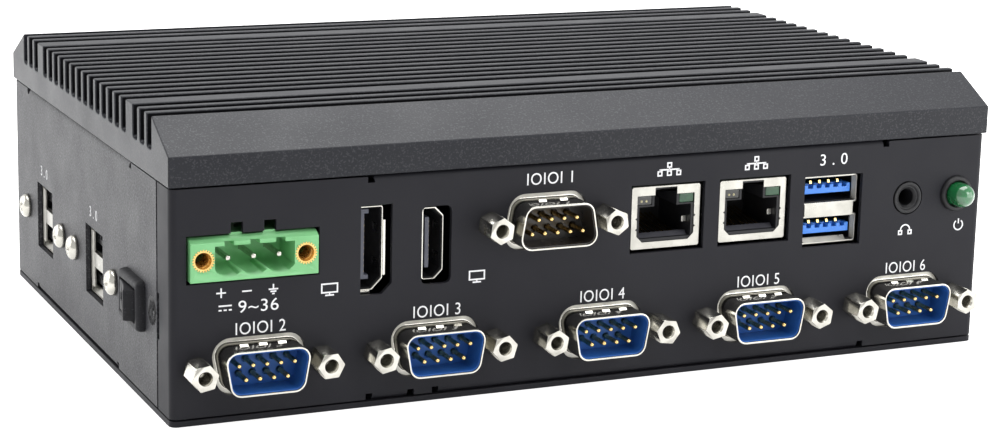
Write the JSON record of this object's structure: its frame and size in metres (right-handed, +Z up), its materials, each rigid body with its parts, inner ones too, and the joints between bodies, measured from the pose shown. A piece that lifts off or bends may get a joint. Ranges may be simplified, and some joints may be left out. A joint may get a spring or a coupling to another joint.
{
  "type": "fanless industrial pc",
  "caption": "Fanless industrial computer: finned heat-sink lid on a folded steel case, with serial, network, USB, video, sound and power sockets and a rocker switch.",
  "frame": {"origin": "centre of the case's flat underside", "axes": "+X to the right as the port panel is faced, -Y out of the port panel, +Z up"},
  "size_m": [0.1855, 0.1309, 0.0583],
  "materials": {
    "dark_aluminium": "fine satin anodised",
    "charcoal_coating": "matt powder coat",
    "black_steel": "black oxide",
    "plated_steel": "nickel plated",
    "bright_nickel": "bright nickel plated",
    "gold_contact": "gold flash",
    "brass": "turned and knurled",
    "blue_moulding": "moulded",
    "bright_blue_moulding": "moulded",
    "black_moulding": "moulded",
    "green_moulding": "moulded",
    "clear_lens": "clear",
    "green_lens": "tinted, translucent",
    "bright_green_lens": "tinted, translucent",
    "board_laminate": "solder resist",
    "pad_silicone": "soft"
  },
  "bodies": {
    "case": {"audio_socket": "black_moulding", "board_screws": "plated_steel", "board_spacers": "plated_steel", "bottom_cover": "charcoal_coating", "clock_cell": "plated_steel", "cover_screws": "black_steel", "front_panel": "charcoal_coating", "heat_sink": "dark_aluminium", "heat_sink_screws": "plated_steel", "io_board": "board_laminate", "lan_activity_lights": "bright_green_lens", "lan_contacts": "gold_contact", "lan_housing_1": "black_moulding", "lan_housing_2": "black_moulding", "lan_link_lights": "clear_lens", "lan_shield_1": "bright_nickel", "lan_shield_2": "bright_nickel", "light_holder": "black_moulding", "light_lens": "green_lens", "link_header": "black_moulding", "mainboard": "board_laminate", "memory_module": "board_laminate", "memory_socket": "black_moulding", "panel_screws": "black_steel", "power_header": "green_moulding", "power_inserts": "brass", "power_pins": "plated_steel", "processor": "black_moulding", "serial_insulator_1": "black_moulding", "serial_insulator_2": "blue_moulding", "serial_insulator_3": "blue_moulding", "serial_insulator_4": "blue_moulding", "serial_insulator_5": "blue_moulding", "serial_insulator_6": "blue_moulding", "serial_jackscrews": "plated_steel", "serial_pins": "gold_contact", "serial_shell_1": "plated_steel", "serial_shell_2": "plated_steel", "serial_shell_3": "plated_steel", "serial_shell_4": "plated_steel", "serial_shell_5": "plated_steel", "serial_shell_6": "plated_steel", "side_and_rear_panel": "charcoal_coating", "side_usb_brackets": "black_moulding", "side_usb_screws": "plated_steel", "side_usb_shell_1": "bright_nickel", "side_usb_shell_2": "bright_nickel", "side_usb_tongues": "black_moulding", "storage_module": "board_laminate", "storage_socket": "black_moulding", "switch_housing": "black_moulding", "switch_terminals": "plated_steel", "thermal_pad": "pad_silicone", "usb_shell": "bright_nickel", "usb_tongues": "bright_blue_moulding", "video_shell_1": "bright_nickel", "video_shell_2": "bright_nickel", "video_tongue_1": "black_moulding", "video_tongue_2": "black_moulding"},
    "rocker": {"rocker": "black_moulding"}
  },
  "joints": [
    {"name": "rocker_tilt", "type": "hinge", "parent": "case", "child": "rocker", "pos_m": [-0.0913, -0.0386, 0.0194], "axis": [0, 0, 1], "range_deg": [0, 24]}
  ]
}
